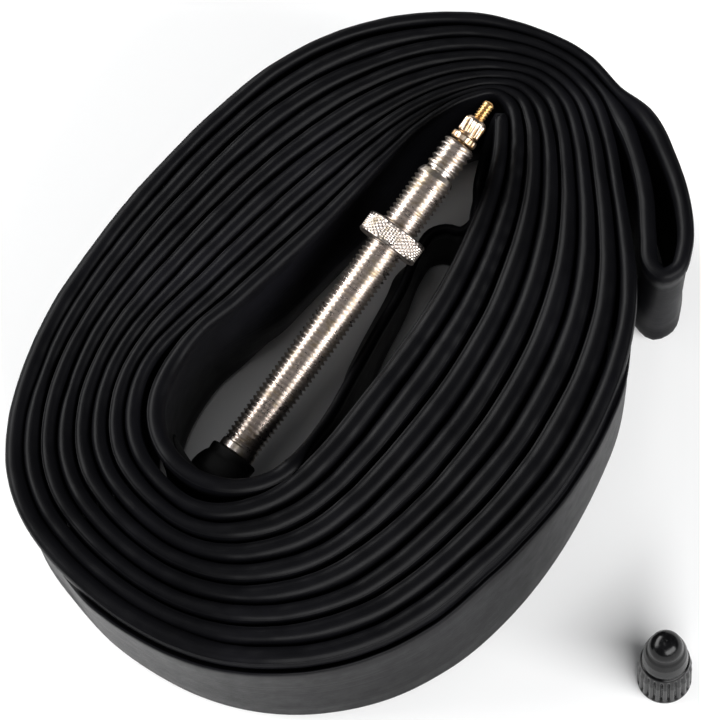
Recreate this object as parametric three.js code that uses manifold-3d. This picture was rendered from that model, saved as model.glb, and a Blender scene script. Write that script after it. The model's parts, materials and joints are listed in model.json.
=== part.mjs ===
// A bicycle inner tube, rolled up flat as sold, with its long valve and the loose dust cap.
//
// Frame: millimetres, +Z up. The roll stands on the edges of the flattened tube, its long axis
// along X, and the valve leans up out of its middle towards +X. The origin is at the middle
// of the underside of the whole set.
//
// The tube is one closed loop of flat band. Laid double, it has two strands: the "lead" strand
// and the "back" strand, joined by the bight that holds the valve and by the outer fold.
import * as THREE from "three";
import { mergeVertices } from "three/addons/utils/BufferGeometryUtils.js";
import Module from "manifold-3d";

const wasm = await Module();
wasm.setup();

// ---------------------------------------------------------------- driving dimensions, mm

const FLAT_WIDTH = 24;          // width of the flattened tube, which is the height of the roll
const GAP = 0.35;               // least space between neighbouring turns
const SLACK = 0.82;             // share of the pitch that the flattened tube fills
const THINNEST = 1.1;           // the two walls of the flattened tube, pressed together
const THICKEST = 3.5;           // a slightly open stretch of the flattened tube
const TOUCH = 0.3;              // gap between pieces that rest on each other

const TURNS = 4;                // whole turns of the double strand
const STEP_DEG = 10;            // spacing of the tube's sections round a turn
const CLIMB = [110, 250];       // degrees of each turn over which a strand moves out two layers
const FOLD_AT = 184;            // degrees into the last turn where the outer fold begins
const EDGE = 2.2;               // height over which the band narrows to its folded edges
const EDGE_SHARE = 0.55;        // width of the folded edge, as a share of the thickness
const LEAN = { x: 1.15, draw: 0.054, y: -1.6, swing: 2.4, from: -20, reach: 35 };

// Middle of layer 1 at its rim, clockwise from the -X end every 30 degrees: a drop shape that is
// round behind the valve and pointed in front of it.
const DROP = [
  [-35.3, 4.0], [-32.3, 15.2], [-21.5, 21.6], [-3.5, 21.0], [17.5, 19.2], [36.5, 16.0],
  [45.9, 9.4], [36.8, 1.4], [17.5, -4.8], [-3, -7.6], [-21.5, -8.1], [-31.6, -3.7],
];
// Middle of layer 8, at the same angles: an oval that the outer fold dents at 210 degrees.
const OVAL = [
  [-54.6, 0.9], [-49.6, 23.1], [-29.5, 35.8], [1.6, 40.1], [31.8, 36.8], [51.6, 21.3],
  [57.0, 0.6], [43.2, -17.6], [27.1, -30.1], [1.6, -37.3], [-29.6, -34.1], [-48.2, -20.1],
];
const OVAL_LAYER = 8;

// Outer fold, from the back strand round to the lead strand, at the rim.
const FOLD = [
  [55.4, -5.0], [52.0, -11.4], [47.8, -17.0], [42.8, -21.8], [39.6, -25.2], [39.4, -27.6],
  [41.6, -28.6], [44.6, -27.4], [50.0, -22.6], [54.6, -15.8], [57.6, -8.6],
];
const FOLD_THICKNESS = 2.4;

// Inner end of the back strand, from the bight to the tip of the valve and back: it sinks low
// beside the valve, and ends under the rim of the layer outside it.
const TAIL = [
  [-17.2, -4.9], [-9.6, -3.4], [-1.0, -0.9], [7.4, 1.2], [15.4, 3.0], [22.0, 5.2],
  [25.4, 5.6], [27.6, 4.2], [28.6, 2.4], [30.6, 1.9], [33.6, 3.3], [36.8, 5.6],
];
const TAIL_TOPS = [21, 17];     // height of its first two sections, on the way down to the rest
const TAIL_TOP = 13.5;          // height of the rest, which pass under the rim nut
const TAIL_THICKNESS = 1.4;

// Round bend behind the valve, where the valve is bonded on.
const BIGHT = { x: -19.4, y: 6.4, radius: 12.0, thickness: 2.4, from: 276, to: 108, step: 12 };

// Valve. Heights along the stem are measured from its foot, where it leaves the collar.
const FOOT = [-21.2, 4.9, 12.5];
const TIP = [40.6, 8.4, 29.0];
const STEM = {
  radius: 3.0, length: 52, neck: 2.8, flange: 3.9, flangeLow: -4.2, flangeHigh: -3.4,
  bore: 1.7, socket: 2.2, socketFloor: 43, mouth: 2.6,
};
const COLLAR = [[4.4, -4.9], [5.6, -3.4], [4.3, -1.9], [3.7, -1.2], [3.7, -0.3], [3.4, 0]];
const PATCH = { centre: 181, spread: 54, step: 9, near: 1.8, thickness: 1.5, middle: 10.8, reach: 8.6 };
const NUT = { low: 38.4, thickness: 3.4, radius: 4.95, bore: 3.3, bevel: 0.4 };
const CORE = { low: 44.3, shoulder: 52.3, high: 57.6, radius: 2.6, shank: 1.85, bore: 1.25 };
const GASKET = { low: 43.4, high: 44.0, inner: 1.3, outer: 1.9 };
const SEAL = { low: 41.9, high: 43.1, inner: 0.9, outer: 1.4 };
const PIN = { low: 41.0, head: 1.1, shaft: 0.6, radius: 0.95, shoulder: 53.4, high: 65.3 };
const THUMB = { low: 57.9, high: 62.1, skirt: 2.1, waist: 1.8, bore: 1.25 };

// Dust cap, standing open end down beside the roll. Its bore is stepped for the core's thread,
// the thumb nut and the pin.
const CAP = { x: -3.0, y: -64.1, dome: 2.6, domeCentre: 12.5 };
const CAP_SIDE = [[4.1, 5.0], [3.7, 7.8], [3.5, 8.4], [3.25, 10.8]];
const CAP_BORE = [[2.9, 5.9], [2.35, 10.4], [1.3, 13.7]];

// ---------------------------------------------------------------- materials

const paint = (color, roughness, metalness) =>
  new THREE.MeshStandardMaterial({ color, roughness, metalness });
const BUTYL = paint(0x17171a, 0.55, 0);
const PATCH_RUBBER = paint(0x121214, 0.7, 0);
const NICKEL = paint(0xcfc8bf, 0.25, 1);
const BRASS = paint(0xc79a4c, 0.3, 1);
const SEAL_RUBBER = paint(0x1b1b1b, 0.8, 0);
const BLACK_PLASTIC = paint(0x101012, 0.3, 0);

// ---------------------------------------------------------------- solids

function toManifold(geometry) {
  const bare = geometry.clone();
  bare.deleteAttribute("normal");
  bare.deleteAttribute("uv");
  const merged = mergeVertices(bare, 1e-4);
  return new wasm.Manifold(new wasm.Mesh({
    numProp: 3,
    vertProperties: new Float32Array(merged.attributes.position.array),
    triVerts: new Uint32Array(merged.index.array),
  }));
}

function fromManifold(solid) {
  const mesh = solid.getMesh();
  const geometry = new THREE.BufferGeometry();
  geometry.setAttribute("position", new THREE.BufferAttribute(mesh.vertProperties, 3));
  geometry.setIndex(new THREE.BufferAttribute(mesh.triVerts, 1));
  geometry.computeVertexNormals();
  return geometry;
}

// A solid of revolution about Z, from [radius, height] pairs that start and end on the axis or
// run once round a ring's section.
function turned(profile, sides) {
  const points = profile.map(([radius, height]) => new THREE.Vector2(radius, height));
  const geometry = new THREE.LatheGeometry(points, sides);
  geometry.rotateX(Math.PI / 2);
  return geometry;
}

// A ring or bush about Z: a closed section between two radii.
function ring(inner, outer, low, high, sides) {
  return turned([[inner, low], [outer, low], [outer, high], [inner, high], [inner, low]], sides);
}

// A solid through a row of sections, each a list of points. The row closes on itself, or its
// two ends are capped.
function loft(sections, closed) {
  const size = sections[0].length;
  const positions = sections.flat().flatMap((point) => [point.x, point.y, point.z]);
  const index = [];
  const spans = closed ? sections.length : sections.length - 1;
  for (let i = 0; i < spans; i++) {
    const here = i * size;
    const next = ((i + 1) % sections.length) * size;
    for (let j = 0; j < size; j++) {
      const k = (j + 1) % size;
      index.push(here + j, next + j, here + k);
      index.push(next + j, next + k, here + k);
    }
  }
  if (!closed) {
    const last = (sections.length - 1) * size;
    for (let j = 1; j < size - 1; j++) {
      index.push(0, j, j + 1);
      index.push(last, last + j + 1, last + j);
    }
  }
  const geometry = new THREE.BufferGeometry();
  geometry.setAttribute("position", new THREE.Float32BufferAttribute(positions, 3));
  geometry.setIndex(index);
  geometry.computeVertexNormals();
  return geometry;
}

// ---------------------------------------------------------------- route of the tube

const closedCurve = (points) => new THREE.CatmullRomCurve3(
  points.map(([x, y]) => new THREE.Vector3(x, y, 0)), true, "catmullrom", 0.5);
const dropCurve = closedCurve(DROP);
const ovalCurve = closedCurve(OVAL);

function easeInOut(t) {
  const clamped = Math.min(1, Math.max(0, t));
  return clamped * clamped * (3 - 2 * clamped);
}

// Place on a layer, whole or between two, at an angle in degrees from the -X end.
function layerPoint(layer, degrees) {
  const t = (degrees / 360) % 1;
  const share = (layer - 1) / (OVAL_LAYER - 1);
  return dropCurve.getPoint(t).lerp(ovalCurve.getPoint(t), share);
}

// Layer of the lead strand: it moves out by two at each turn, over the pointed end of the roll.
function leadLayer(degrees) {
  const turn = Math.floor(degrees / 360);
  const within = degrees - 360 * turn;
  return 2 * (turn + easeInOut((within - CLIMB[0]) / (CLIMB[1] - CLIMB[0])));
}

// Thickness that the layer's pitch leaves room for, square to the strand.
function roomFor(layer, degrees) {
  const before = layerPoint(layer, degrees - 1);
  const along = layerPoint(layer, degrees + 1).sub(before).normalize();
  const step = layerPoint(layer + 0.5, degrees).sub(layerPoint(layer - 0.5, degrees));
  const pitch = Math.abs(along.x * step.y - along.y * step.x);
  const thickness = Math.min(pitch * SLACK, pitch - GAP, THICKEST);
  return Math.max(THINNEST, thickness);
}

// One station of the route: where the rim is, how thick the band is and how high it stands.
function station(point, thickness, top = FLAT_WIDTH) {
  return { x: point.x, y: point.y, thickness, top };
}

function strand(fromDegrees, toDegrees, layerAt) {
  const count = Math.round((toDegrees - fromDegrees) / STEP_DEG);
  const stations = [];
  for (let i = 0; i <= count; i++) {
    const degrees = fromDegrees + (toDegrees - fromDegrees) * i / count;
    const layer = layerAt(degrees);
    stations.push(station(layerPoint(layer, degrees), roomFor(layer, degrees)));
  }
  return stations;
}

function listed(points, thickness, topAt) {
  return points.map(([x, y], i) => station({ x, y }, thickness, topAt?.(i)));
}

// A station of the round bend behind the valve, at an angle in degrees about its own centre.
function bightStation(degrees) {
  const turn = THREE.MathUtils.degToRad(degrees);
  const x = BIGHT.x + BIGHT.radius * Math.cos(turn);
  const y = BIGHT.y + BIGHT.radius * Math.sin(turn);
  return station({ x, y }, BIGHT.thickness);
}

function arc(from, to, step) {
  const count = Math.round(Math.abs(to - from) / step);
  return Array.from({ length: count + 1 }, (_, i) => from + (to - from) * i / count);
}

function tubeRoute() {
  const foldAngle = 360 * TURNS + FOLD_AT;
  const lead = strand(76, foldAngle, leadLayer);
  const back = strand(192, foldAngle, (degrees) => leadLayer(degrees) - 1);
  const fold = listed(FOLD, FOLD_THICKNESS).reverse();
  const tail = listed(TAIL, TAIL_THICKNESS, (i) => TAIL_TOPS[i] ?? TAIL_TOP).reverse();
  const bight = arc(BIGHT.from, BIGHT.to, BIGHT.step).map(bightStation);
  return [...lead, ...fold, ...back.reverse(), ...tail, ...bight];
}

// The walls lean: lower down, the ends of the roll draw in, and its middle swings across.
function lean(x) {
  const swing = LEAN.swing * easeInOut((x - LEAN.from) / LEAN.reach);
  return { x: LEAN.x - LEAN.draw * x, y: LEAN.y + swing };
}

// Point of a station's section: off to one side of the band's middle, at a height.
function sectionPoint(stations, i, closed, side, height) {
  const last = stations.length - 1;
  const before = stations[closed ? (i + last) % (last + 1) : Math.max(0, i - 1)];
  const after = stations[closed ? (i + 1) % (last + 1) : Math.min(last, i + 1)];
  const run = new THREE.Vector2(after.x - before.x, after.y - before.y).normalize();
  const here = stations[i];
  const shift = lean(here.x);
  const depth = 1 - height / FLAT_WIDTH;
  return new THREE.Vector3(
    here.x + run.y * side + shift.x * depth,
    here.y - run.x * side + shift.y * depth,
    height,
  );
}

function tubeGeometry() {
  const stations = tubeRoute();
  const sections = stations.map((here, i) => {
    const half = here.thickness / 2;
    const tip = half * EDGE_SHARE;
    const top = here.top;
    const outline = [
      [-tip, 0], [tip, 0], [half, EDGE], [half, top - EDGE],
      [tip, top], [-tip, top], [-half, top - EDGE], [-half, EDGE],
    ];
    return outline.map(([side, height]) => sectionPoint(stations, i, true, side, height));
  });
  return loft(sections, true);
}

// ---------------------------------------------------------------- valve and cap

const SIDES = 24;
const FINE_SIDES = 16;

// The valve's own frame: Z along the stem from its foot.
const foot = new THREE.Vector3(...FOOT);
const axis = new THREE.Vector3(...TIP).sub(foot).normalize();
const tilt = new THREE.Quaternion().setFromUnitVectors(new THREE.Vector3(0, 0, 1), axis);
const valveMatrix = new THREE.Matrix4().compose(foot, tilt, new THREE.Vector3(1, 1, 1));

// The reinforcing patch: an oval sheet that lines the bend, with a cone that rises round the
// stem's foot, hollowed for the stem's flange and for the air.
function patchGeometry() {
  const angles = arc(PATCH.centre + PATCH.spread, PATCH.centre - PATCH.spread, PATCH.step);
  const stations = angles.map(bightStation);
  const near = PATCH.near;
  const far = near + PATCH.thickness;
  const sections = angles.map((degrees, i) => {
    const share = (degrees - PATCH.centre) / (PATCH.spread * 1.04);
    const reach = PATCH.reach * Math.sqrt(1 - share * share);
    const low = PATCH.middle - reach;
    const high = PATCH.middle + reach;
    const outline = [[near, low], [far, low], [far, high], [near, high]];
    return outline.map(([side, height]) => sectionPoint(stations, i, false, side, height));
  });
  const sheet = toManifold(loft(sections, false));
  const cone = turned([[0, COLLAR[0][1]], ...COLLAR, [0, COLLAR.at(-1)[1]]], SIDES);
  const pocketLow = STEM.flangeLow - TOUCH;
  const pocketHigh = STEM.flangeHigh + TOUCH;
  const pocket = STEM.flange + TOUCH;
  const throat = STEM.neck + TOUCH;
  const hollow = turned([[0, -9], [STEM.bore, -9], [STEM.bore, pocketLow], [pocket, pocketLow],
    [pocket, pocketHigh], [throat, pocketHigh], [throat, 1], [0, 1]], SIDES);
  cone.applyMatrix4(valveMatrix);
  hollow.applyMatrix4(valveMatrix);
  return fromManifold(sheet.add(toManifold(cone)).subtract(toManifold(hollow)));
}

function stemGeometry() {
  const s = STEM;
  return turned([
    [s.bore, s.flangeLow], [s.flange, s.flangeLow], [s.flange, s.flangeHigh],
    [s.neck, s.flangeHigh], [s.neck, 0], [s.radius, 0.3], [s.radius, s.length - 0.5],
    [s.mouth, s.length], [s.socket, s.length], [s.socket, s.socketFloor],
    [s.bore, s.socketFloor], [s.bore, s.flangeLow],
  ], SIDES);
}

function rimNutGeometry() {
  const { low, thickness, radius, bore, bevel } = NUT;
  const high = low + thickness;
  return turned([
    [bore, low + bevel], [bore + bevel, low], [radius - bevel, low], [radius, low + bevel],
    [radius, high - bevel], [radius - bevel, high], [bore + bevel, high], [bore, high - bevel],
    [bore, low + bevel],
  ], SIDES);
}

function coreBodyGeometry() {
  const c = CORE;
  return turned([
    [c.bore, c.low], [c.shank, c.low], [c.shank, c.shoulder], [c.radius, c.shoulder],
    [c.radius, c.high - 0.4], [c.radius - 0.4, c.high], [c.bore, c.high], [c.bore, c.low],
  ], SIDES);
}

function pinGeometry() {
  const p = PIN;
  return turned([
    [0, p.low], [p.head, p.low], [p.head, p.low + 0.6], [p.shaft, p.low + 0.6],
    [p.shaft, p.shoulder], [p.radius, p.shoulder + 0.4], [p.radius, p.high - 0.4],
    [p.radius - 0.3, p.high], [0, p.high],
  ], FINE_SIDES);
}

function thumbNutGeometry() {
  const t = THUMB;
  return turned([
    [t.bore, t.low], [t.skirt, t.low], [t.skirt, t.low + 1.1], [t.waist, t.low + 1.4],
    [t.waist, t.high - 0.4], [t.waist - 0.4, t.high], [t.bore, t.high], [t.bore, t.low],
  ], FINE_SIDES);
}

// Closed at the top: a grip, a tapered side and a round dome over a stepped bore.
function capGeometry() {
  const dome = arc(0, 75, 15).map((degrees) => {
    const turn = THREE.MathUtils.degToRad(degrees);
    return [CAP.dome * Math.cos(turn), CAP.domeCentre + CAP.dome * Math.sin(turn)];
  });
  const outside = [[CAP_SIDE[0][0], 0], ...CAP_SIDE, ...dome, [0, CAP.domeCentre + CAP.dome]];
  const [wide, middle, narrow] = CAP_BORE;
  const inside = [[0, narrow[1]], narrow, [narrow[0], middle[1]], middle,
    [middle[0], wide[1]], wide, [wide[0], 0]];
  return turned([[wide[0], 0], ...outside, ...inside], SIDES);
}

// ---------------------------------------------------------------- assembly

const group = new THREE.Group();
const valve = new THREE.Group();
valve.position.copy(foot);
valve.quaternion.copy(tilt);
group.add(valve);

function addPart(parent, name, geometry, material) {
  const mesh = new THREE.Mesh(geometry, material);
  mesh.name = name;
  parent.add(mesh);
  return mesh;
}

addPart(group, "tube", tubeGeometry(), BUTYL);
addPart(group, "valve_patch", patchGeometry(), PATCH_RUBBER);
addPart(valve, "valve_stem", stemGeometry(), NICKEL);
addPart(valve, "rim_nut", rimNutGeometry(), NICKEL);
addPart(valve, "core_body", coreBodyGeometry(), NICKEL);
addPart(valve, "core_gasket", ring(GASKET.inner, GASKET.outer, GASKET.low, GASKET.high,
  FINE_SIDES), SEAL_RUBBER);
addPart(valve, "pin_seal", ring(SEAL.inner, SEAL.outer, SEAL.low, SEAL.high, FINE_SIDES),
  SEAL_RUBBER);
addPart(valve, "valve_pin", pinGeometry(), BRASS);
addPart(valve, "thumb_nut", thumbNutGeometry(), BRASS);
addPart(group, "dust_cap", capGeometry(), BLACK_PLASTIC).position.set(CAP.x, CAP.y, 0);

// The whole set stands with the middle of its underside at the origin.
group.updateMatrixWorld(true);
const middle = new THREE.Box3().setFromObject(group, true).getCenter(new THREE.Vector3());
group.position.set(-middle.x, -middle.y, 0);
group.updateMatrixWorld(true);

export default group;
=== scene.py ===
"""A bicycle inner tube rolled up flat as sold, with its long valve and the loose dust cap.

The frame's part is loaded first. Every visible piece is then built round it in metres, from
named sizes in millimetres: the flattened tube as one closed band with rounded folded edges,
the valve's threads and knurls as real relief, and the fluted cap. Then come the materials,
the floor, the lights and the camera.
"""
import json
import math

import bpy
import numpy as np
from mathutils import Matrix, Vector


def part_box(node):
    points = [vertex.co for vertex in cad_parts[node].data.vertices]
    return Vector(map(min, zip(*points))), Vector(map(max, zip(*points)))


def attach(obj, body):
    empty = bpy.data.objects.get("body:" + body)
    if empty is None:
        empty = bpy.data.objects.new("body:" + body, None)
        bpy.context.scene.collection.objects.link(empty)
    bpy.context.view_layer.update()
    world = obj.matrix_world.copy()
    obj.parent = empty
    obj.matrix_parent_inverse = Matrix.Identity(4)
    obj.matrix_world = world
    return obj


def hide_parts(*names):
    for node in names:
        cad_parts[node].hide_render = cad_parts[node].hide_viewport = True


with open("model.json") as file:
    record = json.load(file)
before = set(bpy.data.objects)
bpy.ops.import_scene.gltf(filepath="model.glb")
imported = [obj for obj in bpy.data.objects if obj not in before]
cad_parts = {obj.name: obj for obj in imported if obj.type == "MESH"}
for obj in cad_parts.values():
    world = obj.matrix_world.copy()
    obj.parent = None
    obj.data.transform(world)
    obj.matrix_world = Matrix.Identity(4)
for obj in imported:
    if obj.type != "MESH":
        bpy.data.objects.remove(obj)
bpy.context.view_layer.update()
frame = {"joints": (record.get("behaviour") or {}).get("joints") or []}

MM = 0.001

# ------------------------------------------------------------------ sizes, in millimetres

FLAT_WIDTH = 24.0               # width of the flattened tube, which is the height of the roll
TURNS = 4                       # whole turns of the double strand
STEP_DEG = 10                   # spacing of the route's stations round a turn
CLIMB = (110, 250)              # degrees of each turn over which a strand moves out two layers
FOLD_AT = 184                   # degrees into the last turn where the outer fold begins

# Middle of layer 1 at its rim, clockwise from the -X end every 30 degrees.
DROP = [
    (-35.3, 4.0), (-32.3, 15.2), (-21.5, 21.6), (-3.5, 21.0), (17.5, 19.2), (36.5, 16.0),
    (45.9, 9.4), (36.8, 1.4), (17.5, -4.8), (-3, -7.6), (-21.5, -8.1), (-31.6, -3.7),
]
# Middle of layer 8, at the same angles.
OVAL = [
    (-54.6, 0.9), (-49.6, 23.1), (-29.5, 35.8), (1.6, 40.1), (31.8, 36.8), (51.6, 21.3),
    (57.0, 0.6), (43.2, -17.6), (27.1, -30.1), (1.6, -37.3), (-29.6, -34.1), (-48.2, -20.1),
]
OVAL_LAYER = 8
# Outer fold, from the back strand round to the lead strand.
FOLD = [
    (55.4, -5.0), (52.0, -11.4), (47.8, -17.0), (42.8, -21.8), (39.6, -25.2), (39.4, -27.6),
    (41.6, -28.6), (44.6, -27.4), (50.0, -22.6), (54.6, -15.8), (57.6, -8.6),
]
# Inner end of the back strand, from the bight to the tip of the valve and back.
TAIL = [
    (-17.2, -4.9), (-9.6, -3.4), (-1.0, -0.9), (7.4, 1.2), (15.4, 3.0), (22.0, 5.2),
    (25.4, 5.6), (27.6, 4.2), (28.6, 2.4), (30.6, 1.9), (33.6, 3.3), (36.8, 5.6),
]
TAIL_TOPS = (22.6, 20.2, 17.2, 14.8)    # heights on the way down to the rest of the tail
TAIL_TOP = 13.5
# Round bend behind the valve, between two angles in degrees.
BIGHT = {"x": -19.4, "y": 6.4, "radius": 12.0, "from": 264, "to": 108, "step": 12}
LEAN = {"x": 1.15, "draw": 0.054, "y": -1.6, "swing": 2.4, "from": -20, "reach": 35}

# Half width of the outermost folded edge, every 30 degrees.
OUTER_RIM = [1.6, 1.35, 1.5, 1.3, 1.05, 0.85, 0.7, 1.0, 1.5, 1.65, 1.75, 1.73]
RIM_SHARE = 0.445               # half width of a folded edge, as a share of the turns' pitch
RIM_LIMITS = (0.55, 2.0)
FOLD_RIM = 1.3                  # the same half width in the fold, the tail and the bight
TAIL_RIM = 0.8
BIGHT_RIM = 1.45

FOOT = (-21.2, 4.9, 12.5)
CAP_PLACE = (-3.0, -64.1)

# The part's origin is the middle of its underside, so the sizes above are moved by this much.
cap_low, cap_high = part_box("dust_cap")
SHIFT = ((cap_low + cap_high) / 2 / MM) - Vector((*CAP_PLACE, 0))
SHIFT.z = 0


# ------------------------------------------------------------------ mesh helpers

def to_frame(points):
    """Millimetres in the sizes' own frame, as metres in the part's frame."""
    return (np.asarray(points, float) + np.array(SHIFT)) * MM


def grid_faces(rows, columns, closed_rows, closed_columns):
    faces = []
    for i in range(rows if closed_rows else rows - 1):
        here, after = i * columns, ((i + 1) % rows) * columns
        for j in range(columns if closed_columns else columns - 1):
            k = (j + 1) % columns
            faces.append((here + j, after + j, after + k, here + k))
    return faces


def signed_volume(vertices, faces):
    corners = np.array([(f[0], f[i], f[i + 1]) for f in faces for i in range(1, len(f) - 1)])
    a, b, c = (vertices[corners[:, i]] for i in range(3))
    return float(np.einsum("ij,ij->i", a, np.cross(b, c)).sum()) / 6


def add_piece(name, vertices, faces, material, body, nodes, uv=None):
    """A closed mesh, given in metres, that rides on a body and stands for CAD nodes."""
    vertices = np.asarray(vertices, float)
    if signed_volume(vertices - vertices.mean(0), faces) < 0:
        faces = [tuple(reversed(face)) for face in faces]
    mesh = bpy.data.meshes.new(name)
    mesh.from_pydata(vertices.tolist(), [], faces)
    mesh.polygons.foreach_set("use_smooth", [True] * len(mesh.polygons))
    if uv is not None:
        layer = mesh.uv_layers.new(name="along")
        corner_vertices = np.empty(len(mesh.loops), int)
        mesh.loops.foreach_get("vertex_index", corner_vertices)
        layer.data.foreach_set("uv", np.asarray(uv)[corner_vertices].ravel())
    mesh.materials.append(material)
    mesh.update()
    piece = bpy.data.objects.new(name, mesh)
    bpy.context.collection.objects.link(piece)
    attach(piece, body)
    if nodes:
        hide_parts(*nodes)
    return piece


def ease(t):
    t = np.clip(t, 0, 1)
    return t * t * (3 - 2 * t)


def window(value, rise_from, rise_to, fall_from, fall_to):
    """0 outside, 1 inside, with soft sides."""
    return ease((value - rise_from) / (rise_to - rise_from)) * (
        1 - ease((value - fall_from) / (fall_to - fall_from)))


# ------------------------------------------------------------------ route of the tube

def on_closed_curve(points, degrees):
    """Catmull-Rom curve through points spread evenly round a turn."""
    points = np.asarray(points, float)
    count = len(points)
    u = (degrees / 360 * count) % count
    i, t = int(u), u - int(u)
    a, b, c, d = (points[(i + j - 1) % count] for j in range(4))
    return 0.5 * (2 * b + (c - a) * t + (2 * a - 5 * b + 4 * c - d) * t ** 2
                  + (3 * b - a - 3 * c + d) * t ** 3)


def layer_point(layer, degrees):
    inner, outer = on_closed_curve(DROP, degrees), on_closed_curve(OVAL, degrees)
    return inner + (outer - inner) * (layer - 1) / (OVAL_LAYER - 1)


def lead_layer(degrees):
    turn = math.floor(degrees / 360)
    within = degrees - 360 * turn
    return 2 * (turn + float(ease((within - CLIMB[0]) / (CLIMB[1] - CLIMB[0]))))


def rim_room(layer, degrees):
    along = layer_point(layer, degrees + 1) - layer_point(layer, degrees - 1)
    along /= np.linalg.norm(along)
    step = layer_point(layer + 0.5, degrees) - layer_point(layer - 0.5, degrees)
    pitch = abs(along[0] * step[1] - along[1] * step[0])
    half = float(np.clip(pitch * RIM_SHARE, *RIM_LIMITS))
    outer = np.interp(degrees % 360, range(0, 361, 30), OUTER_RIM + OUTER_RIM[:1])
    return half + (outer - half) * float(ease(layer - 7))


# Columns of a station: x, y, half width of the rim, height of the top, layer, degrees.
def strand(start, end, layer_at):
    count = round((end - start) / STEP_DEG)
    rows = []
    for i in range(count + 1):
        degrees = start + (end - start) * i / count
        layer = layer_at(degrees)
        x, y = layer_point(layer, degrees)
        rows.append((x, y, rim_room(layer, degrees), FLAT_WIDTH, layer, degrees))
    return rows


def bight():
    count = round((BIGHT["from"] - BIGHT["to"]) / BIGHT["step"])
    rows = []
    for i in range(count + 1):
        turn = math.radians(BIGHT["from"] - BIGHT["step"] * i)
        x = BIGHT["x"] + BIGHT["radius"] * math.cos(turn)
        y = BIGHT["y"] + BIGHT["radius"] * math.sin(turn)
        rows.append((x, y, BIGHT_RIM, FLAT_WIDTH, 0, 0))
    return rows


def coarse_route():
    fold_angle = 360 * TURNS + FOLD_AT
    lead = strand(76, fold_angle, lead_layer)
    back = strand(192, fold_angle, lambda degrees: lead_layer(degrees) - 1)
    fold = [(x, y, FOLD_RIM, FLAT_WIDTH, OVAL_LAYER + 1, fold_angle) for x, y in FOLD]
    tops = list(TAIL_TOPS) + [TAIL_TOP] * (len(TAIL) - len(TAIL_TOPS))
    tail = [(x, y, TAIL_RIM, top, 0, 0) for (x, y), top in zip(TAIL, tops)]
    return np.array(lead + fold[::-1] + back[::-1] + tail[::-1] + bight())


def spline(rows, lengths, at):
    """Smooth closed curve through rows at the given lengths, with its slope, at lengths at."""
    count = len(rows)
    total = lengths[-1]
    knots = lengths[:-1]
    gaps = np.diff(lengths)
    slopes = (np.roll(rows, -1, 0) - rows) / gaps[:, None]
    before = np.roll(slopes, 1, 0)
    gaps_before = np.roll(gaps, 1)
    tangents = (before * gaps[:, None] + slopes * gaps_before[:, None]) / (
        gaps + gaps_before)[:, None]
    at = np.mod(at, total)
    i = np.clip(np.searchsorted(knots, at, side="right") - 1, 0, count - 1)
    k = (i + 1) % count
    h = gaps[i][:, None]
    t = ((at - knots[i]) / gaps[i])[:, None]
    value = ((2 * t ** 3 - 3 * t ** 2 + 1) * rows[i] + (t ** 3 - 2 * t ** 2 + t) * h * tangents[i]
             + (3 * t ** 2 - 2 * t ** 3) * rows[k] + (t ** 3 - t ** 2) * h * tangents[k])
    slope = ((6 * t ** 2 - 6 * t) * rows[i] / h + (3 * t ** 2 - 4 * t + 1) * tangents[i]
             + (6 * t - 6 * t ** 2) * rows[k] / h + (3 * t ** 2 - 2 * t) * tangents[k])
    return value, slope


def lean(x):
    """How far the foot of the band stands from under its rim."""
    swing = LEAN["swing"] * ease((x - LEAN["from"]) / LEAN["reach"])
    return LEAN["x"] - LEAN["draw"] * x, LEAN["y"] + swing


def ripple(length, total, cycles, phase):
    """A slow irregular wave, between about -1 and 1, that closes on itself."""
    turn = 2 * math.pi * length / total
    return (np.sin(cycles * turn + phase) + 0.7 * np.sin(round(cycles * 1.7) * turn + 2 * phase)
            + 0.5 * np.sin(round(cycles * 2.9) * turn + 3 * phase)) / 2.2


# ------------------------------------------------------------------ the tube

STATION_SPACING = 0.8
WRINKLE_SPACING = 3.2
CROWN_ANGLES = (0, 11, 22, 32, 40, 45, 47.5, 50, 52.5, 55, 60, 70, 80, 90)
RIB_ANGLE = 50
RIB_HEIGHT = 0.11
CROWN_RISE = 1.15               # height of the rounded edge, against its half width
WALL_STEPS = (0.12, 0.28, 0.46, 0.64, 0.82, 1.0)
BODY_SHARE = 0.70               # half width between the edges, as a share of the rim's
LOW_SHARE = 0.92                # half width of the lower edge, as a share of the rim's
WRINKLE_DEPTH = 0.07

# Degrees along the route where each feature fades in and out.
LIP_SPAN = (1312, 1332, 1442, 1456)
SLIT_SPAN = (1368, 1386, 1434, 1448)
WRINKLE_SPAN = (184, 194, 240, 270)
SWELL_SPAN = (78, 100, 165, 190)

# The lip below the outermost rim: how far out from the rim and down from the crown.
LIP_CREASE = (0.12, 0.55)
LIP_GROOVE = [(-0.12, 0.4), (-0.50, 1.2), (-0.80, 2.1), (-0.55, 2.2), (-0.05, 1.3), (0.36, 0.55)]
LIP_EDGE = [(0.54, 0.25), (0.74, 0.22), (0.90, 0.5), (0.96, 1.1), (0.86, 3.5)]


def fine_stations():
    rows = coarse_route()
    ahead = np.roll(rows, -1, 0) - rows
    lengths = np.concatenate([[0], np.cumsum(np.hypot(ahead[:, 0], ahead[:, 1]))])
    total = lengths[-1]
    at = np.arange(0, total, STATION_SPACING)
    value, slope = spline(rows, lengths, at)
    return value, slope, at, total


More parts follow.
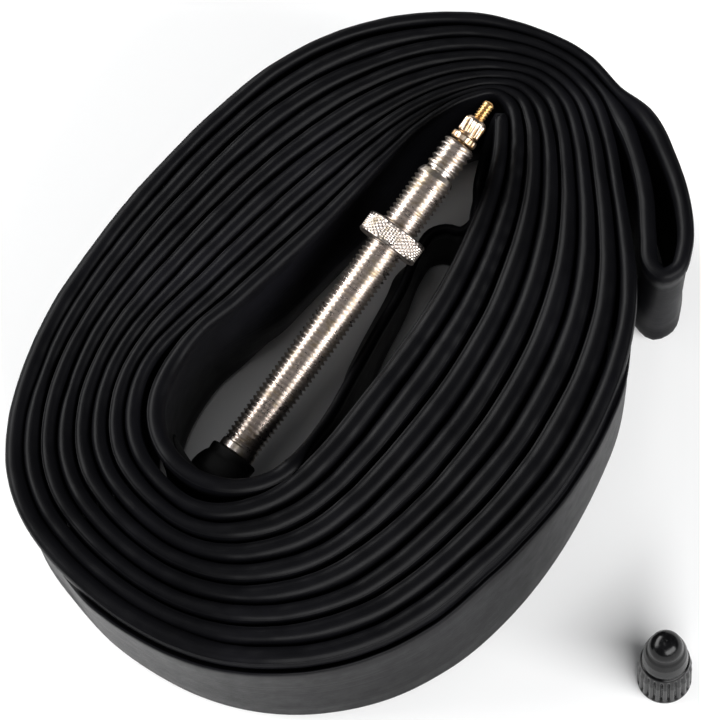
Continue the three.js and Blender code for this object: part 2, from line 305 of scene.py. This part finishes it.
def below_crown(rim, rise, body, spread, lip, slit):
    """Half widths and depths down the outer side, plain or with the slit and the lip."""
    crease_out, crease_down = (rim + LIP_CREASE[0], rise + LIP_CREASE[1])
    groove = [(rim + out, rise + down) for out, down in LIP_GROOVE]
    shaped = [(crease_out + slit * (out - crease_out), crease_down + slit * (down - crease_down))
              for out, down in groove]
    shaped += [(rim + out, rise + down) for out, down in LIP_EDGE]
    plain = [(rim + (body - rim) * ease(t), rise + spread * t)
             for t in np.linspace(0.06, 1, len(shaped))]
    return [(plain_out + lip * (out - plain_out), plain_down + lip * (down - plain_down))
            for (out, down), (plain_out, plain_down) in zip(shaped, plain)]


def tube_mesh():
    value, slope, at, total = fine_stations()
    x, y, rim, top, layer, degrees = value.T
    run = slope[:, :2] / np.linalg.norm(slope[:, :2], axis=1)[:, None]
    rim = rim * (1 + 0.05 * ripple(at, total, 61, 1.3))
    top = top + 0.30 * ripple(at, total, 47, 0.4) + 0.10 * ripple(at, total, 190, 2.2)
    low = 0.12 + 0.12 * ripple(at, total, 53, 0.9)
    body = rim * BODY_SHARE
    outermost = (layer > 7.5) & (layer < 8.5) & (degrees > 360 * 3 + 200)
    lip = np.where(outermost, window(degrees, *LIP_SPAN), 0)
    slit = lip * window(degrees, *SLIT_SPAN)
    first = (layer > 1.0) & (layer < 2.05) & (degrees > 180) & (degrees < 275)
    wrinkle = np.where(first, window(degrees, *WRINKLE_SPAN), 0)
    top = top - wrinkle * WRINKLE_DEPTH * (1 + np.sin(2 * math.pi * at / WRINKLE_SPACING)) ** 2 / 2

    rise = rim * CROWN_RISE
    spread = 1.8 + 1.2 * rim
    low_rim = rim * LOW_SHARE
    low_rise = low_rim * CROWN_RISE

    sides, heights = [], []

    def put(side, height):
        sides.append(side)
        heights.append(height)

    # Down the outer side of the lead strand: crown, rib, wall, lower edge.
    for angle in CROWN_ANGLES:
        turn = math.radians(angle)
        bulge = 1 + (RIB_HEIGHT / 1.5 if angle == RIB_ANGLE else 0)
        put(-rim * math.sin(turn) * bulge, top - rise * (1 - math.cos(turn) * bulge))
    for half, depth in below_crown(rim, rise, body, spread, lip, slit):
        put(-half, top - depth)
    middle_half = body + lip * (rim + 0.7 - body)
    put(-middle_half, low + (top - low) * 0.45)
    low_half = low_rim + lip * 0.7
    for t in reversed(WALL_STEPS):
        put(-(low_half + (middle_half - low_half) * ease(t)), low + low_rise + spread * t)
    for angle in range(90, -1, -15):
        turn = math.radians(angle)
        put(-low_half * math.sin(turn), low + low_rise * (1 - math.cos(turn)))
    # Up the inner side. Round the hollow it bulges inward low down.
    swollen = np.where((layer < 1.2) & (top > 23), window(degrees, *SWELL_SPAN), 0)
    swollen = 3.6 * swollen + 2.4 * ease((21 - top) / 5) * (1 - ease((x - 18) / 6))

    def bulge(height):
        return swollen * np.sin(math.pi * np.clip(height / (0.75 * top), 0, 1)) ** 1.3

    inner_start = len(sides)
    for angle in range(15, 91, 15):
        turn = math.radians(angle)
        put(low_rim * math.sin(turn), low + low_rise * (1 - math.cos(turn)))
    for t in WALL_STEPS:
        put(low_rim + (body - low_rim) * ease(t), low + low_rise + spread * t)
    put(body, low + (top - low) * 0.5)
    for t in reversed(WALL_STEPS):
        put(rim + (body - rim) * ease(t), top - rise - spread * t)
    for angle in reversed(CROWN_ANGLES[1:]):
        turn = math.radians(angle)
        put(rim * math.sin(turn), top - rise * (1 - math.cos(turn)))

    for i in range(inner_start, len(sides)):
        sides[i] = sides[i] + bulge(heights[i])
    side = np.stack(sides, 1)
    height = np.stack(heights, 1)
    lean_x, lean_y = lean(x)
    depth = 1 - height / FLAT_WIDTH
    px = x[:, None] + run[:, 1:2] * side + lean_x[:, None] * depth
    py = y[:, None] - run[:, 0:1] * side + lean_y[:, None] * depth
    points = np.stack([px, py, height], 2)
    rows, columns = side.shape
    across = np.concatenate([[0], np.cumsum(np.hypot(np.diff(side[0]), np.diff(height[0])))])
    uv = np.stack([np.repeat(at, columns), np.tile(across, rows)], 1) * MM
    return points.reshape(-1, 3), grid_faces(rows, columns, True, True), uv


# ------------------------------------------------------------------ turned pieces

STEM_THREAD = {"pitch": 0.794, "major": 3.0, "minor": 2.58}
NECK_THREAD = {"pitch": 1.06, "major": 2.6, "minor": 2.2}
PIN_THREAD = {"pitch": 0.5, "major": 0.95, "minor": 0.78}

AXIS = Vector(next(joint["axis"] for joint in frame["joints"]
                   if joint["name"] == "core_unscrew")).normalized()
FOOT_PLACE = (Vector(FOOT) + SHIFT) * MM
VALVE_PLACE = Matrix.Translation(FOOT_PLACE) @ AXIS.to_track_quat("Z", "Y").to_matrix().to_4x4()
CAP_MATRIX = Matrix.Translation((Vector((*CAP_PLACE, 0)) + SHIFT) * MM)


def spaced(profile, step):
    """A profile of (radius, height) pairs with no gap between neighbours over step."""
    rows = []
    for (r0, z0), (r1, z1) in zip(profile, profile[1:]):
        count = max(1, math.ceil(math.hypot(r1 - r0, z1 - z0) / step))
        rows += [(r0 + (r1 - r0) * i / count, z0 + (z1 - z0) * i / count) for i in range(count)]
    return rows + [profile[-1]]


def turned(profile, columns, place, relief=None, ring=True):
    """A closed mesh of revolution in metres, with its relief. A ring's profile closes on itself."""
    rows = np.array(profile if not ring else profile[:-1], float)
    angles = np.arange(columns) * 2 * math.pi / columns
    radius = np.repeat(rows[:, :1], columns, 1)
    height = np.repeat(rows[:, 1:], columns, 1)
    turn = np.repeat(angles[None], len(rows), 0)
    if relief:
        radius = relief(radius, height, turn)
    points = np.stack([radius * np.cos(turn), radius * np.sin(turn), height], 2).reshape(-1, 3)
    faces = grid_faces(len(rows), columns, ring, True)
    if not ring:
        last = (len(rows) - 1) * columns
        faces.append(tuple(range(columns)))
        faces.append(tuple(range(last + columns - 1, last - 1, -1)))
    matrix = np.array(place)
    return (points * MM) @ matrix[:3, :3].T + matrix[:3, 3], faces


def thread(shape, low, high, run_out=0.5):
    """Relief of a right-hand thread between two heights, fading out at both ends."""
    pitch, major, minor = shape["pitch"], shape["major"], shape["minor"]

    def relief(radius, height, turn):
        phase = np.mod(height / pitch - turn / (2 * math.pi), 1)
        groove = np.clip((0.5 - np.abs(phase - 0.5)) / 0.5 * 1.3 - 0.12, 0, 1)
        groove = groove * groove * (3 - 2 * groove) * 0.45 + groove * 0.55
        fade = window(height, low, low + run_out, high - run_out, high)
        outer = np.abs(radius - major) < 0.02
        return np.where(outer, radius - (major - minor) * groove * fade, radius)

    return relief


# ------------------------------------------------------------------ materials

def new_material(name, color, roughness, metallic=0.0, specular=0.5):
    material = bpy.data.materials.new(name)
    material.use_nodes = True
    nodes = material.node_tree.nodes
    shader = nodes["Principled BSDF"]
    shader.inputs["Base Color"].default_value = (*color, 1)
    shader.inputs["Roughness"].default_value = roughness
    shader.inputs["Metallic"].default_value = metallic
    shader.inputs["Specular IOR Level"].default_value = specular
    return material, nodes, material.node_tree.links, shader


def noise(nodes, links, vector, scale, detail=4, roughness=0.6):
    node = nodes.new("ShaderNodeTexNoise")
    node.inputs["Scale"].default_value = scale
    node.inputs["Detail"].default_value = detail
    node.inputs["Roughness"].default_value = roughness
    links.new(vector, node.inputs["Vector"])
    return node.outputs["Fac"]


def ramp(nodes, links, value, stops):
    node = nodes.new("ShaderNodeValToRGB")
    elements = node.color_ramp.elements
    while len(elements) < len(stops):
        elements.new(0.5)
    for element, (position, color) in zip(elements, stops):
        element.position = position
        element.color = (*color, 1)
    links.new(value, node.inputs["Fac"])
    return node.outputs["Color"]


def mapped(nodes, links, value, low, high, from_low=0.3, from_high=0.7):
    node = nodes.new("ShaderNodeMapRange")
    for name, number in (("From Min", from_low), ("From Max", from_high),
                         ("To Min", low), ("To Max", high)):
        node.inputs[name].default_value = number
    links.new(value, node.inputs["Value"])
    return node.outputs["Result"]


def bumped(nodes, links, shader, layers):
    """Several bumps in a row, each (height, strength, distance in metres)."""
    normal = None
    for height, strength, distance in layers:
        node = nodes.new("ShaderNodeBump")
        node.inputs["Strength"].default_value = strength
        node.inputs["Distance"].default_value = distance
        links.new(height, node.inputs["Height"])
        if normal:
            links.new(normal, node.inputs["Normal"])
        normal = node.outputs["Normal"]
    links.new(normal, shader.inputs["Normal"])


def own_coordinates(nodes):
    return nodes.new("ShaderNodeTexCoord").outputs["Object"]


def stretched(nodes, links, vector, scale):
    node = nodes.new("ShaderNodeMapping")
    node.inputs["Scale"].default_value = scale
    links.new(vector, node.inputs["Vector"])
    return node.outputs["Vector"]


def butyl_rubber():
    """Satin black rubber: mould lines along the band, a fine grain, and a faint talc haze."""
    material, nodes, links, shader = new_material("butyl", (0.0022, 0.0022, 0.0028), 0.42,
                                                  specular=0.075)
    place = own_coordinates(nodes)
    along = nodes.new("ShaderNodeUVMap")
    along.uv_map = "along"
    haze = noise(nodes, links, place, 42, 5)
    lines = noise(nodes, links, stretched(nodes, links, along.outputs["UV"], (14, 2600, 1)), 1, 3)
    grain = noise(nodes, links, place, 5200, 3)
    blotch = noise(nodes, links, place, 420, 4)
    links.new(ramp(nodes, links, haze, [(0.36, (0.0015, 0.0015, 0.0019)),
                                        (0.56, (0.0024, 0.0024, 0.0031)),
                                        (0.74, (0.0048, 0.0047, 0.0062))]),
              shader.inputs["Base Color"])
    links.new(mapped(nodes, links, blotch, 0.38, 0.46), shader.inputs["Roughness"])
    bumped(nodes, links, shader, [(haze, 0.05, 0.0008), (lines, 0.20, 0.00014),
                                  (grain, 0.12, 0.00003)])
    return material


def moulded_rubber(name, color, roughness):
    material, nodes, links, shader = new_material(name, color, roughness, specular=0.14)
    place = own_coordinates(nodes)
    grain = noise(nodes, links, place, 3600, 4)
    blotch = noise(nodes, links, place, 300, 3)
    bright = tuple(1.9 * part for part in color)
    links.new(ramp(nodes, links, blotch, [(0.35, color), (0.7, bright)]),
              shader.inputs["Base Color"])
    links.new(mapped(nodes, links, grain, roughness - 0.08, roughness + 0.1),
              shader.inputs["Roughness"])
    bumped(nodes, links, shader, [(grain, 0.25, 0.00006)])
    return material


def plated_metal(name, bright, dull, roughness, wear):
    """Plated brass: tiny scratches and stains, with the dull tone showing through."""
    material, nodes, links, shader = new_material(name, bright, roughness, metallic=1.0)
    place = own_coordinates(nodes)
    stain = noise(nodes, links, place, 620, 5, 0.65)
    scratch = noise(nodes, links, stretched(nodes, links, place, (1, 1, 5)), 2400, 3)
    links.new(ramp(nodes, links, stain, [(wear, dull), (wear + 0.14, bright)]),
              shader.inputs["Base Color"])
    links.new(mapped(nodes, links, stain, roughness + 0.16, roughness),
              shader.inputs["Roughness"])
    bumped(nodes, links, shader, [(scratch, 0.14, 0.00003)])
    return material


def black_plastic():
    material, nodes, links, shader = new_material("black_plastic", (0.002, 0.002, 0.0023), 0.2,
                                                  specular=0.2)
    place = own_coordinates(nodes)
    scuff = noise(nodes, links, place, 900, 4)
    links.new(ramp(nodes, links, scuff, [(0.4, (0.0016, 0.0016, 0.0018)),
                                         (0.75, (0.0034, 0.0034, 0.0038))]),
              shader.inputs["Base Color"])
    links.new(mapped(nodes, links, scuff, 0.15, 0.30), shader.inputs["Roughness"])
    bumped(nodes, links, shader, [(scuff, 0.06, 0.0001)])
    return material


BUTYL = butyl_rubber()
PATCH_RUBBER = moulded_rubber("patch_rubber", (0.0036, 0.0036, 0.0036), 0.62)
SEAL_RUBBER = moulded_rubber("seal_rubber", (0.010, 0.010, 0.010), 0.6)
NICKEL = plated_metal("nickel_plate", (0.57, 0.51, 0.47), (0.38, 0.32, 0.24), 0.22, 0.35)
WORN_NICKEL = plated_metal("worn_nickel", (0.66, 0.56, 0.46), (0.36, 0.22, 0.11), 0.26, 0.46)
BRASS = plated_metal("brass", (0.78, 0.50, 0.22), (0.50, 0.27, 0.09), 0.22, 0.36)
PLASTIC = black_plastic()


# ------------------------------------------------------------------ the pieces

def add_tube():
    points, faces, uv = tube_mesh()
    add_piece("rolled_tube", to_frame(points), faces, BUTYL, "tube_and_stem", ["tube"],
              uv)


def add_stem():
    thread_low, thread_high = 1.5, 51.4
    profile = [(1.7, -4.2), (3.8, -4.2), (3.9, -4.1), (3.9, -3.5), (3.8, -3.4), (2.8, -3.4),
               (2.8, 0.0), (2.92, 0.1), (2.95, 0.2), (2.95, 1.25), (2.7, 1.45), (2.7, 1.7)]
    profile += [(3.0, 1.75), (3.0, 51.0), (2.62, 51.9), (2.5, 52.0), (2.3, 52.0), (2.2, 51.9),
                (2.2, 43.0), (1.7, 43.0), (1.7, -4.2)]
    relief = thread(STEM_THREAD, thread_low, thread_high)
    points, faces = turned(spaced(profile, 0.085), 72, VALVE_PLACE, relief)
    add_piece("threaded_stem", points, faces, NICKEL, "tube_and_stem", ["valve_stem"])


def add_rim_nut():
    low, high, outer = 38.4, 41.8, 4.95
    ribs, slope = 34, 0.30

    def knurl(radius, height, turn):
        across = ribs / 2 * turn
        up = (height - (low + high) / 2) * slope * ribs / 2
        ridge = np.abs(np.sin(across + up)) * np.abs(np.sin(across - up))
        band = window(height, low + 0.25, low + 0.6, high - 0.6, high - 0.25)
        depth = np.where(radius > outer - 0.02, 0.36 * band * (1 - ridge ** 0.7), 0)
        return radius - depth

    profile = [(3.1, low + 0.35), (3.35, low), (4.55, low), (4.72, low + 0.05), (outer, low + 0.3),
               (outer, high - 0.3), (4.72, high - 0.05), (4.55, high), (4.2, high),
               (4.12, high - 0.14), (3.6, high - 0.14), (3.5, high), (3.35, high),
               (3.1, high - 0.35), (3.1, low + 0.35)]
    points, faces = turned(spaced(profile, 0.11), ribs * 10, VALVE_PLACE, knurl)
    add_piece("knurled_rim_nut", points, faces, NICKEL, "rim_nut", ["rim_nut"])


def add_core():
    profile = [(1.25, 44.3), (1.75, 44.3), (1.85, 44.4), (1.85, 52.3), (2.25, 52.3),
               (2.25, 52.75), (2.6, 52.95), (2.6, 57.1), (2.3, 57.45), (2.05, 57.6),
               (1.4, 57.6), (1.25, 57.45), (1.25, 44.3)]
    relief = thread(NECK_THREAD, 52.8, 57.3, 0.3)
    points, faces = turned(spaced(profile, 0.09), 64, VALVE_PLACE, relief)
    add_piece("core_and_neck", points, faces, NICKEL, "core", ["core_body"])


def add_thumb_nut():
    low, high, ribs = 57.9, 62.1, 13

    def knurl(radius, height, turn):
        band = window(height, low + 1.45, low + 1.75, high - 0.7, high - 0.35)
        ridge = np.abs(np.sin(ribs / 2 * turn + 0.4 * (height - low)))
        on_skirt = np.abs(radius - 2.1) < 0.02
        on_waist = np.abs(radius - 1.8) < 0.02
        notch = np.where(on_skirt, 0.12 * np.abs(np.sin(ribs / 2 * turn)) ** 6, 0)
        return radius - np.where(on_waist, 0.24 * band * (1 - ridge), notch)

    profile = [(1.25, low + 0.15), (1.4, low), (1.9, low), (2.1, low + 0.2), (2.1, low + 0.9),
               (1.95, low + 1.1), (1.55, low + 1.15), (1.5, low + 1.35), (1.8, low + 1.5),
               (1.8, high - 0.6), (1.5, high - 0.15), (1.3, high), (1.25, high - 0.1),
               (1.25, low + 0.15)]
    points, faces = turned(spaced(profile, 0.08), ribs * 8, VALVE_PLACE, knurl)
    add_piece("knurled_thumb_nut", points, faces, WORN_NICKEL, "thumb_nut", ["thumb_nut"])


def add_pin():
    profile = [(0.1, 41.0), (0.95, 41.0), (1.1, 41.1), (1.1, 41.55), (0.95, 41.6), (0.6, 41.7),
               (0.6, 53.4), (0.95, 53.8), (0.95, 64.75), (0.8, 65.05), (0.5, 65.25), (0.1, 65.3)]
    relief = thread(PIN_THREAD, 54.0, 64.9, 0.25)
    points, faces = turned(spaced(profile, 0.07), 32, VALVE_PLACE, relief, ring=False)
    add_piece("threaded_pin", points, faces, BRASS, "pin", ["valve_pin"])


def add_ring(name, node, body, inner, outer, low, high):
    middle, half = (inner + outer) / 2, (outer - inner) / 2
    rise = (high - low) / 2
    profile = []
    for i in range(17):
        turn = 2 * math.pi * i / 16
        across, up = math.cos(turn), math.sin(turn)
        profile.append((middle + half * math.copysign(abs(across) ** 0.6, across),
                        low + rise + rise * math.copysign(abs(up) ** 0.6, up)))
    points, faces = turned(profile, 40, VALVE_PLACE)
    add_piece(name, points, faces, SEAL_RUBBER, body, [node])


def add_collar():
    """The moulded foot of the valve: a low ring round the stem that flares into the patch."""
    profile = [(3.1, -5.2), (4.6, -5.2), (4.75, -4.3), (4.6, -3.3), (4.35, -2.5), (4.1, -1.9),
               (3.85, -1.55), (3.75, -1.3), (3.8, -1.15), (3.85, -0.35), (3.75, -0.12),
               (3.55, 0.0), (3.2, 0.0), (3.1, -0.1), (3.1, -3.1), (4.2, -3.1), (4.2, -4.5),
               (3.1, -4.5), (3.1, -5.2)]
    points, faces = turned(spaced(profile, 0.25), 56, VALVE_PLACE)
    add_piece("valve_collar", points, faces, PATCH_RUBBER, "tube_and_stem", ["valve_patch"])


PATCH = {"centre": 181, "spread": 54, "near": 1.62, "thickness": 1.5, "middle": 10.8,
         "reach": 8.6}


def add_patch():
    """An oval sheet on the bend's inner wall, thick in the middle and feathered at its edge."""
    steps, rings = 60, 18
    outer, inner = [], []
    for i in range(rings + 1):
        share = i / rings
        for j in range(steps):
            turn = 2 * math.pi * j / steps
            along = PATCH["spread"] * share * math.cos(turn)
            height = PATCH["middle"] + PATCH["reach"] * share * math.sin(turn)
            angle = math.radians(PATCH["centre"] + along)
            swell = PATCH["thickness"] * (1 - share ** 3) + 0.12 * (1 - share ** 12)
            for sheet, depth in ((outer, 0.0), (inner, swell)):
                radius = BIGHT["radius"] - PATCH["near"] - depth
                x = BIGHT["x"] + radius * math.cos(angle)
                y = BIGHT["y"] + radius * math.sin(angle)
                lean_x, lean_y = lean(np.array(x))
                low = 1 - height / FLAT_WIDTH
                sheet.append((x + float(lean_x) * low, y + float(lean_y) * low, height))
    count = (rings + 1) * steps
    points = np.array(outer + inner[:-steps])
    faces = []
    for face in grid_faces(rings + 1, steps, False, True):
        faces.append(face)
        shared = [index + count if index < count - steps else index for index in face]
        faces.append(tuple(reversed(shared)))
    add_piece("valve_patch_sheet", to_frame(points), faces, PATCH_RUBBER, "tube_and_stem",
              ["valve_patch"])


def add_cap():
    ribs = 22

    def flutes(radius, height, turn):
        band = window(height, 0.5, 1.1, 6.4, 7.5)
        ridge = np.abs(np.sin(ribs / 2 * turn))
        outer = radius > 3.45
        return radius - np.where(outer, 0.42 * band * (1 - ridge) ** 1.4, 0)

    dome = [(2.6 * math.cos(math.radians(a)), 12.5 + 2.6 * math.sin(math.radians(a)))
            for a in range(0, 86, 5)]
    profile = [(2.9, 0.15), (3.05, 0.0), (3.9, 0.0), (4.08, 0.12), (4.1, 0.3), (4.1, 5.0),
               (3.95, 6.3), (3.72, 7.6), (3.6, 7.75), (3.38, 7.85), (3.36, 8.05), (3.5, 8.2),
               (3.46, 8.8), (3.3, 10.4), (3.0, 11.5), (2.72, 12.0)]
    profile += dome + [(0.1, 15.1), (0.1, 13.7), (1.3, 13.7), (1.3, 10.4), (2.35, 10.4),
                       (2.35, 5.9), (2.9, 5.9), (2.9, 0.15)]
    points, faces = turned(spaced(profile, 0.16), ribs * 12, CAP_MATRIX, flutes)
    add_piece("fluted_dust_cap", points, faces, PLASTIC, "dust_cap", ["dust_cap"])


add_tube()
add_stem()
add_rim_nut()
add_core()
add_thumb_nut()
add_pin()
add_ring("core_gasket_ring", "core_gasket", "core", 1.3, 1.9, 43.4, 44.0)
add_ring("pin_seal_ring", "pin_seal", "pin", 0.9, 1.4, 41.9, 43.1)
add_collar()
add_patch()
add_cap()

# ------------------------------------------------------------------ floor, lights, camera

VIEW_AZIMUTH = 49.4             # degrees from the roll's short axis to the line of sight
VIEW_ELEVATION = 67.0
VIEW_DISTANCE = 2500.0
FRAME_HEIGHT = 720 / 6.7        # millimetres of the scene across the picture's height
TARGET = (-1.99, -1.41, 24.0)


def add_camera():
    data = bpy.data.cameras.new("camera")
    data.sensor_fit = "VERTICAL"
    data.sensor_height = 36
    data.lens = 36 * VIEW_DISTANCE / FRAME_HEIGHT
    data.clip_start = 0.01
    camera = bpy.data.objects.new("camera", data)
    bpy.context.collection.objects.link(camera)
    azimuth, elevation = math.radians(VIEW_AZIMUTH), math.radians(VIEW_ELEVATION)
    look = Vector((math.cos(elevation) * math.sin(azimuth),
                   math.cos(elevation) * math.cos(azimuth), -math.sin(elevation)))
    target = (Vector(TARGET) + SHIFT) * MM
    camera.location = target - look * VIEW_DISTANCE * MM
    camera.rotation_euler = look.to_track_quat("-Z", "Y").to_euler()
    bpy.context.scene.camera = camera


def add_floor():
    size = 3.0
    mesh = bpy.data.meshes.new("floor")
    mesh.from_pydata([(-size, -size, 0), (size, -size, 0), (size, size, 0), (-size, size, 0)],
                     [], [(0, 1, 2, 3)])
    material = new_material("floor", (0.96, 0.96, 0.96), 0.9, specular=0.1)[0]
    mesh.materials.append(material)
    floor = bpy.data.objects.new("floor", mesh)
    floor.location.z = -0.0002
    bpy.context.collection.objects.link(floor)


def add_light(name, place, size, power):
    data = bpy.data.lights.new(name, "AREA")
    data.shape = "RECTANGLE"
    data.size, data.size_y = size
    data.energy = power
    light = bpy.data.objects.new(name, data)
    light.location = Vector(place)
    light.rotation_euler = (-Vector(place)).to_track_quat("-Z", "Y").to_euler()
    bpy.context.collection.objects.link(light)


def add_world():
    world = bpy.data.worlds.new("world")
    world.use_nodes = True
    background = world.node_tree.nodes["Background"]
    background.inputs["Color"].default_value = (0.95, 0.97, 1.0, 1)
    background.inputs["Strength"].default_value = 0.09
    bpy.context.scene.world = world


add_camera()
add_floor()
add_light("left_box", (-0.25, 1.00, 0.58), (1.5, 0.6), 29)
add_light("right_box", (-0.20, -1.00, 0.58), (1.5, 0.6), 29)
add_light("top_strip", (-0.15, 0.10, 1.20), (0.5, 0.12), 0.7)
add_world()
bpy.context.scene.view_settings.view_transform = "Standard"
